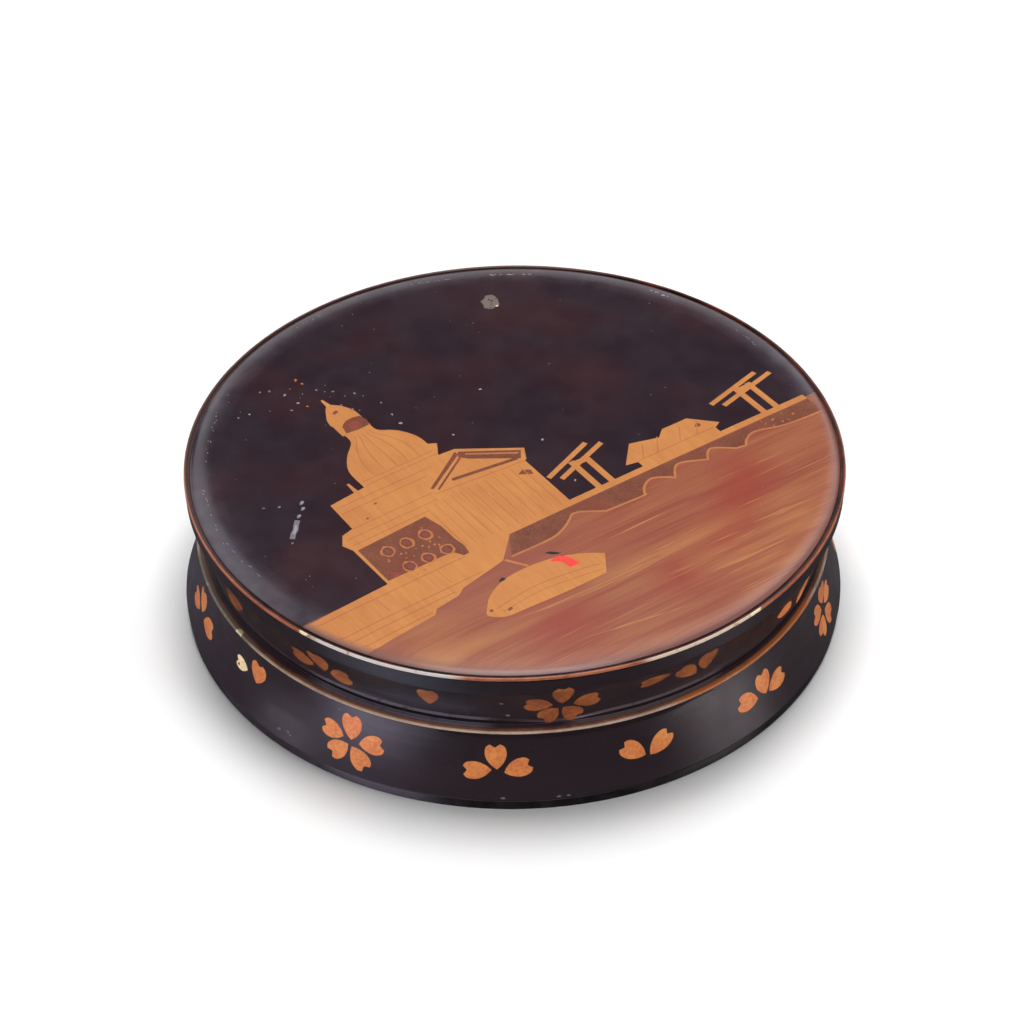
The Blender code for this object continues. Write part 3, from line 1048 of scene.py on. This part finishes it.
class Wall:
    """A turned piece's upright skin, unrolled: across is an angle times one radius, up is its profile."""

    def __init__(self, profile):
        self.profile = profile
        self.lengths = [0.0]
        for start, end in zip(profile, profile[1:]):
            self.lengths.append(self.lengths[-1] + math.dist(start, end))
        self.across = LEDGE_RADIUS
        self.girth = math.tau * self.across

    def at(self, down):
        """Radius, height and slope at a distance down the profile."""
        down = min(max(down, 0.0), self.lengths[-1])
        step = max(i for i in range(len(self.lengths) - 1) if self.lengths[i] <= down)
        share = (down - self.lengths[step]) / (self.lengths[step + 1] - self.lengths[step])
        place = between(self.profile[step], self.profile[step + 1], share)
        before, after = self.profile[max(step - 1, 0)], self.profile[min(step + 2, len(self.profile) - 1)]
        return place, normal_of(before, after)

    def lift(self, flat):
        azimuth = flat[0] / self.across
        (radius, height), slope = self.at(-flat[1])
        return around(radius, height, azimuth), leaning(slope, azimuth)

    def spot(self, degrees, down):
        """A flat place from an angle in degrees to the right of the front and a distance down the wall."""
        return math.radians(degrees) * self.across, -down


def cover_wall(shell, wall, outlines, top, bottom, ground):
    """Lays a wall's skin between two rings already made. Its edges meet at the back."""
    low = -wall.lengths[-1]
    ends = [turn * wall.across for turn in azimuths()] + [wall.girth / 2]
    heights = [-length for length in wall.lengths]
    seam = [shell.point(*wall.lift((ends[0], height))[0]) for height in heights[1:-1]]
    border = [((x, low), ring_point) for x, ring_point in zip(ends, bottom + bottom[:1])]
    border += [((ends[-1], height), point) for height, point in zip(heights[-2:0:-1], seam[::-1])]
    border += [((x, 0.0), ring_point) for x, ring_point in zip(ends[::-1], top[:1] + top[::-1])]
    border += [((ends[0], height), point) for height, point in zip(heights[1:-1], seam)]
    grid = [([(x, height) for x in ends[1:-1]], False) for height in heights[1:-1]]
    shell.skin(outlines, border, grid, wall.lift, ground)


def petals(wall, places, name, notch):
    """Petals given as the degrees and distance down of their inner tips, then angle, length and width."""
    return [(name, petal(wall.spot(degrees, down), angle, length, width, notch))
            for degrees, down, angle, length, width in places]


def blossom(wall, degrees, down, angles, name, draw, length=7.2, width=6.2):
    """One blossom, of as many petals as it has kept."""
    middle = wall.spot(degrees, down)
    marks = []
    for angle in angles:
        size = draw.uniform(0.92, 1.06)
        tip = turned(middle, BLOSSOM_GAP, 0.0, math.radians(angle))
        marks.append((name, petal(tip, angle, length * size, width * size * draw.uniform(0.94, 1.06))))
    return marks


def back_blossoms(wall, first, last, step, down, name, draw):
    """Whole and part blossoms carried on round the back."""
    kinds = (
        (90, 18, 162, 234, 306), (170, 92, 14), (136, 52),
        (90, 14, 160, 233, 305), (178, 95, 12), (140, 40),
    )
    marks = []
    count = round((last - first) / step)
    for i in range(count + 1):
        degrees = first + (last - first) * i / count
        marks += blossom(wall, degrees, down + draw.uniform(-1, 1), kinds[i % len(kinds)], name, draw)
    return marks


def wrapped(wall, outlines):
    """Outlines moved whole turns round so that none lies past the seam at the back, and cut to the wall."""
    half = wall.girth / 2 - PAINT_MARGIN
    sheet = box(-half, PAINT_MARGIN - wall.lengths[-1], half, -PAINT_MARGIN)
    kept = []
    for name, outline in outlines:
        middle = sum(x for x, _ in outline) / len(outline)
        shift = -wall.girth * round(middle / wall.girth)
        kept.append((name, cropped(anticlockwise([(x + shift, y) for x, y in outline]), sheet)))
    return kept


def nicks(wall, places, draw):
    """Pale nicks in a side, each given as degrees, distance down and size."""
    return [("dust", speck(wall.spot(degrees, down), size, draw.uniform(-0.3, 0.3), 0.5))
            for degrees, down, size in places]


def base_outlines(wall):
    """The blossoms round the base, and a line of painted shadow under the ledge in front."""
    draw = random.Random(3)
    left, right = [wall.spot(degrees, 0)[0] for degrees in (-13, 36)]
    marks = [("line", box(left, -LEDGE_SHADE, right, 0))]
    marks += petals(wall, (
        (-73.6, 12.7, 172, 8, 6.2), (-72.3, 12, 92, 8.2, 6.4), (-70.6, 12.9, 10, 8.2, 6.4),
        (-50.1, 10.7, 84, 7.5, 6.8),
        (-28.4, 11.3, 91, 8.8, 6.4), (-29.9, 11, 168, 7.2, 6.1), (-26.9, 11.8, 14, 7.8, 6.3),
        (-28.9, 13, 222, 7.4, 5.8), (-28.2, 13.4, 312, 7.7, 6),
        (-3.9, 12.2, 184, 8, 5.8), (-3, 12, 94, 8.5, 6.2), (-1.8, 13, 21, 8.1, 6),
        (22.1, 13.4, 145, 8.5, 5.9), (22.9, 13.8, 41, 8.8, 6),
        (45.8, 13.3, 162, 8.3, 6), (47.9, 13.6, 97, 8.2, 6.3), (48.7, 13.6, 18, 8.1, 6.1),
    ), "petal", 1.1)
    marks += blossom(wall, 71, 11, (161, 85, 20, 233, 308), "petal", draw, 7.2, 6.6)
    marks.append(("cream", petal(wall.spot(-52.8, 9), 178, 6, 4.6, 0.8)))
    marks.append(("window", speck(wall.spot(-55.5, 9.8), 1.4, 0.4)))
    marks += nicks(wall, ((-43, 19.4, 1.8), (-41, 18.6, 1.4), (-40.4, 19.2, 1.2), (-2, 21.2, 1.6),
                          (7, 21.3, 1.5), (8.6, 21.3, 1.2), (-31, 2.4, 1)), draw)
    marks += back_blossoms(wall, 95.4, 263.2, 24.5, 12.4, "petal", draw)
    return wrapped(wall, marks)


def lid_outlines(wall):
    """The smaller, darker blossoms round the lid's side, over a band along its foot painted lighter, as
    painted light.
    """
    draw = random.Random(4)
    half, foot = wall.girth / 2, -wall.lengths[-1]
    marks = [("seam", box(-half, foot, half, foot + SEAM_BAND))]
    marks += petals(wall, (
        (-58.6, 18.6, 170, 8.6, 6.6), (-57.8, 17.6, 100, 9.2, 6.6),
        (-37.3, 15.7, 171, 8.5, 6.6), (-35.2, 16.6, 99, 9.4, 7), (-33.9, 16.5, 15, 7.7, 6.7),
        (-15, 16.3, 90, 9, 6.2),
        (7.6, 13.7, 91, 10.6, 6), (6, 14.2, 169, 8.3, 6.7), (9.5, 14.4, 15, 7.8, 7),
        (6.9, 15.9, 228, 6.9, 6), (7.8, 15.7, 312, 7, 6),
        (26.7, 10.4, 187, 9.6, 4.6), (32.4, 16.3, 138, 9.4, 5.9), (34.4, 16.3, 97, 10.8, 6.3),
    ), "deep_petal", 0.8)
    marks += petals(wall, ((58.1, 18.4, 148, 10, 6), (61, 21, 54, 9.4, 6.6)), "petal", 0.8)
    marks += nicks(wall, ((-15.2, 8, 0.9), (6.6, 8.2, 0.9), (13.8, 8, 0.9), (-2.6, 12.4, 1.6),
                          (-1.6, 18.6, 1.6)), draw)
    marks += back_blossoms(wall, 80, 280, 22, 14.6, "deep_petal", draw)
    return wrapped(wall, marks)


def dome(radius):
    """Height and slope of the lid's top at a distance from its middle."""
    if radius <= SHOULDER_IN:
        height = SHOULDER_TOP + DOME_RISE * (1.0 - (radius / SHOULDER_IN) ** 2)
        fall = -2.0 * DOME_RISE * radius / SHOULDER_IN ** 2
    else:
        across = min((radius - SHOULDER_IN) / SHOULDER_WIDTH, STEEPEST)
        drop = 1.0 - math.sqrt(1.0 - across * across)
        height = SHOULDER_TOP - SHOULDER_DROP * drop
        fall = -SHOULDER_DROP / SHOULDER_WIDTH * across / math.sqrt(1.0 - across * across)
    length = math.hypot(fall, 1.0)
    return height, (-fall / length, 1.0 / length)


def on_dome(flat):
    """A place on the lid's top and its normal."""
    radius = math.hypot(flat[0], flat[1])
    height, (out, up) = dome(radius)
    if radius < WELD:
        return (flat[0], flat[1], height), (0.0, 0.0, 1.0)
    return (flat[0], flat[1], height), (out * flat[0] / radius, out * flat[1] / radius, up)


def circle(radius, count):
    """A ring of flat places."""
    return [around(radius, 0.0, turn)[:2] for turn in levels(0.0, math.tau, count)[:-1]]


def lid_side(height, low, high):
    """Outer radius of the lid's wall: full at high, drawn in to the foot at low."""
    return LID_FOOT_RADIUS + (EDGE_RADIUS - LID_FOOT_RADIUS) * bounded(height, low, high) ** LID_SWEEP


def make_lid(paints):
    """The lid: domed top with the picture, groove, rim, tapering wall with blossoms, and plain inside."""
    shell = Shell()
    edge_low = RIM_TOP - EDGE_HEIGHT
    foot_top = LID_BOTTOM + LID_FOOT_ROUND
    ceiling = SHOULDER_TOP - TOP_THICKNESS
    corner = ceiling - LID_CORNER
    step = RIM_TOP - RIM_HEIGHT
    rim_round = RIM_WIDTH / 2
    rim_middle, rim_low = GROOVE_OUT + rim_round, RIM_TOP - rim_round

    def bore(height):
        up = (height - LID_BOTTOM) / (corner - LID_BOTTOM)
        return lid_side(height, foot_top, edge_low) - (LID_FOOT_WALL + (LID_WALL - LID_FOOT_WALL) * up)

    inner_edge = shell.ring(GROOVE_IN, GROOVE_FLOOR)
    rings = [(circle(radius, TOP_STEPS), True) for radius in TOP_RINGS]
    for turn in levels(0.0, math.pi / 2, SHOULDER_STEPS)[:-1]:
        rings.append((circle(SHOULDER_IN + SHOULDER_WIDTH * math.sin(turn), AROUND), True))
    border = [(shell.points[point][:2], point) for point in inner_edge]
    shell.skin(picture(), border, rings, on_dome, "plum")

    wall_top = shell.ring(EDGE_RADIUS, step)
    shell.turn([
        ("groove", [(GROOVE_IN, GROOVE_FLOOR), (GROOVE_OUT, GROOVE_FLOOR)]),
        ("groove", arc(rim_middle, rim_low, rim_round, 180, RIM_BARE)),
        ("rim", [*arc(rim_middle, rim_low, rim_round, RIM_BARE, 0), (LID_RADIUS, step + RIM_LINE)]),
        # Painted shadow: a near-black line on the rim's lower side and its step
        ("line", [(LID_RADIUS, step + EDGE_INSET), (EDGE_RADIUS, step)]),
    ], inner_edge, wall_top)

    heights = [step] + levels(edge_low, foot_top, WALL_STEPS)
    wall = Wall([(lid_side(height, foot_top, edge_low), height) for height in heights])
    wall_foot = shell.ring(LID_FOOT_RADIUS, foot_top)
    cover_wall(shell, wall, lid_outlines(wall), wall_top, wall_foot, "black")

    shell.turn([
        # The foot's round and bottom take the foot band's lighter paint, painted light
        ("seam", arc(LID_FOOT_RADIUS - LID_FOOT_ROUND, foot_top, LID_FOOT_ROUND, 0, -90)),
        ("seam", [(LID_FOOT_RADIUS - LID_FOOT_WALL, LID_BOTTOM)]),
        ("inside", [(bore(height), height) for height in levels(LID_BOTTOM, corner, WALL_STEPS)]),
        ("inside", [*arc(bore(corner) - LID_CORNER, corner, LID_CORNER, 0, 90), (0.0, ceiling)]),
    ], wall_foot)
    piece = shell.finish("lid_shell", paints, LID_MIDDLE)
    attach(piece, "root")
    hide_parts("lid")


def base_side(height):
    """Outer radius of the base's wall: upright under the ledge, then spreading to the foot."""
    drop = bounded(height, BASE_HEIGHT - LEDGE_ROUND, FOOT_BAND_HEIGHT + SKIRT_ROUND)
    return LEDGE_RADIUS + (FOOT_RADIUS - LEDGE_RADIUS) * drop ** BASE_FLARE


def base_bore(height):
    """Inner radius of the base: it follows the wall, and sweeps in to the lip's bore below the ledge."""
    bore_top = BASE_HEIGHT - LIP_ROOT
    sweep = bounded(height, bore_top, bore_top - LIP_SWEEP)
    ease = sweep * sweep * (3.0 - 2.0 * sweep)
    return LIP_BORE + (base_side(height) - BASE_WALL - LIP_BORE) * ease


def make_base(paints):
    """The base: plain inside, lip, rounded ledge, waisted wall with blossoms, foot band and recess."""
    shell = Shell()
    floor = FOOT_RECESS + FLOOR_THICKNESS
    corner = floor + FLOOR_CORNER
    bore_top = BASE_HEIGHT - LIP_ROOT
    lip_round_low = BASE_HEIGHT + LIP_HEIGHT - LIP_ROUND
    side_top = BASE_HEIGHT - LEDGE_ROUND
    ledge_flat = LEDGE_RADIUS - LEDGE_ROUND
    skirt = FOOT_BAND_HEIGHT + SKIRT_ROUND
    band_radius = FOOT_RADIUS - FOOT_BAND_INSET
    recess_radius = band_radius - FOOT_RING_WIDTH

    wall_top = shell.ring(LEDGE_RADIUS, side_top)
    shell.turn([
        ("inside", [(0.0, floor), *arc(base_bore(corner) - FLOOR_CORNER, corner, FLOOR_CORNER, -90, 0)]),
        ("inside", [(base_bore(height), height) for height in levels(corner, bore_top, WALL_STEPS)]),
        ("inside", arc(LIP_BORE + LIP_ROUND, lip_round_low, LIP_ROUND, 180, 90)),
        ("inside", arc(LIP_RADIUS - LIP_ROUND, lip_round_low, LIP_ROUND, 90, 0)),
        ("inside", [(LIP_RADIUS, BASE_HEIGHT)]),
        ("seam", [(LEDGE_DARK, BASE_HEIGHT)]),
        ("ledge_inner", [(ledge_flat - LEDGE_BORDER, BASE_HEIGHT)]),
        ("ledge", [(ledge_flat, BASE_HEIGHT)]),
        ("ledge_edge", arc(ledge_flat, side_top, LEDGE_ROUND, 90, LEDGE_WEAR_AND_HIGHLIGHT)),
        ("black", arc(ledge_flat, side_top, LEDGE_ROUND, LEDGE_WEAR_AND_HIGHLIGHT, 0, 3)),
    ], None, wall_top)

    wall = Wall([(base_side(height), height) for height in levels(side_top, skirt, WALL_STEPS)])
    wall_foot = shell.ring(FOOT_RADIUS, skirt)
    cover_wall(shell, wall, base_outlines(wall), wall_top, wall_foot, "black")

    shell.turn([
        ("foot", arc(FOOT_RADIUS - SKIRT_ROUND, skirt, SKIRT_ROUND, 0, -90)),
        ("foot", [(band_radius, FOOT_BAND_HEIGHT - FOOT_BAND_SLOPE), (band_radius, FOOT_BAND_ROUND)]),
        # Painted shadow: a near-black line round the foot's bottom edge
        ("line", arc(band_radius - FOOT_BAND_ROUND, FOOT_BAND_ROUND, FOOT_BAND_ROUND, 0, -90)),
        ("underside", [(recess_radius, 0.0), (recess_radius - FOOT_RECESS, FOOT_RECESS), (0.0, FOOT_RECESS)]),
    ], wall_foot)
    piece = shell.finish("base_shell", paints, 0.0)
    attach(piece, "root")
    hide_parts("base")


def make_floor():
    """A wide white floor, which the gloss does not mirror."""
    mesh = bpy.data.meshes.new("studio_floor")
    reach = 6.0
    corners = [(-reach, -reach, 0.0), (reach, -reach, 0.0), (reach, reach, 0.0), (-reach, reach, 0.0)]
    mesh.from_pydata(corners, [], [(0, 1, 2, 3)])
    finish = Finish("white_floor", 0.0, roughness=0.9)
    finish.colour((0.92, 0.92, 0.92, 1.0))
    mesh.materials.append(finish.material)
    floor = bpy.data.objects.new("studio_floor", mesh)
    bpy.context.scene.collection.objects.link(floor)
    floor.visible_glossy = False


def softbox(name, azimuth, elevation, distance, width, height, power, mirrored, colour=(1.0, 1.0, 1.0)):
    """A soft lamp aimed at the box, which either shows in its gloss alone or lights it unseen.

    Azimuth runs from behind the box towards its right.
    """
    lamp = bpy.data.lights.new(name, "AREA")
    lamp.shape = "RECTANGLE"
    lamp.size = width
    lamp.size_y = height
    lamp.energy = power
    lamp.color = colour
    turn, lift = math.radians(azimuth), math.radians(elevation)
    target = Vector((0.0, 0.0, 0.03))
    away = Vector((math.sin(turn) * math.cos(lift), math.cos(turn) * math.cos(lift), math.sin(lift)))
    holder = bpy.data.objects.new(name, lamp)
    holder.location = target + away * distance
    holder.rotation_euler = away.to_track_quat("Z", "Y").to_euler()
    holder.visible_camera = False
    holder.visible_glossy = mirrored
    holder.visible_diffuse = not mirrored
    bpy.context.scene.collection.objects.link(holder)


def make_light():
    """A lamp almost overhead with weaker ones round it to light the box, and soft sheets for its gloss."""
    for lamp in (
        ("overhead", 8, 80, 1.3, 0.55, 0.45, 13),
        ("upper_back", 10, 62, 1.3, 0.7, 0.4, 4.5),
        ("left_front", -138, 3, 1.4, 0.95, 0.2, 6),
        ("left_high", -130, 30, 1.5, 0.8, 0.5, 3.2),
        ("left_side", -75, 30, 1.6, 1, 0.6, 3.1),
        ("right_front", 118, 22, 1.5, 0.7, 0.5, 9.6),
    ):
        softbox(*lamp, mirrored=False)
    white = (1, 1, 1)
    for colour, *lamp in (
        ((0.90, 0.94, 1), "left_back", -52, 40, 1.6, 1.6, 0.8, 6),
        ((0.92, 0.95, 1), "left_low_back", -60, 13, 1.6, 1.2, 0.5, 2.2),
        (white, "back", 0, 15, 1.6, 1.7, 0.8, 3.3),
        (white, "right_sheet", 36, 40, 1.5, 0.45, 0.9, 1.9),
        (white, "upper_sheet", 20, 60, 1.5, 0.9, 0.7, 2.6),
        (white, "top_sheet", 180, 84, 1.3, 0.66, 0.6, 6),
        (white, "front_sheet", 180, 52, 1.5, 1.4, 0.9, 14),
        ((0.84, 0.76, 1), "left_glow", -133, -32, 1.2, 0.52, 0.62, 3.7),
        ((0.72, 0.74, 1), "left_deep_glow", -137, -60, 1.2, 0.45, 0.35, 0.45),
        ((0.90, 0.82, 1), "left_side_glow", -108, -15, 1.2, 0.34, 0.2, 0.75),
        ((1, 0.92, 0.97), "right_glow", 111, -23, 1.2, 0.5, 0.9, 2.9),
        ((0.84, 0.76, 1), "left_low", -55, -27, 1.5, 1.8, 0.8, 0.7),
        ((1, 0.9, 0.96), "right_low", 58, -27, 1.5, 1.8, 0.8, 0.6),
        ((0.96, 0.88, 1), "front_low", 180, -8, 1.5, 3, 0.35, 0.6),
    ):
        softbox(*lamp, mirrored=True, colour=colour)
    world = bpy.data.worlds.new("pale_room")
    world.use_nodes = True
    world.node_tree.nodes["Background"].inputs["Color"].default_value = (0.05, 0.05, 0.052, 1)
    bpy.context.scene.world = world
    bpy.context.scene.view_settings.view_transform = "Standard"


def make_camera():
    """The camera stands in front of the box and looks down on it."""
    place = (-0.00024, -0.6748, 0.5831)
    down, roll = math.radians(39.51), math.radians(-0.529)
    camera = bpy.data.cameras.new("camera")
    camera.lens = 99.74
    camera.sensor_width = 36.0
    camera.sensor_fit = "HORIZONTAL"
    camera.clip_start = 0.05
    holder = bpy.data.objects.new("camera", camera)
    facing = Matrix.Rotation(math.pi / 2 - down, 4, "X") @ Matrix.Rotation(roll, 4, "Z")
    holder.matrix_world = Matrix.Translation(place) @ facing
    bpy.context.scene.collection.objects.link(holder)
    bpy.context.scene.camera = holder


make_camera()
make_light()
make_floor()
paints = make_paints()
make_lid(paints)
make_base(paints)
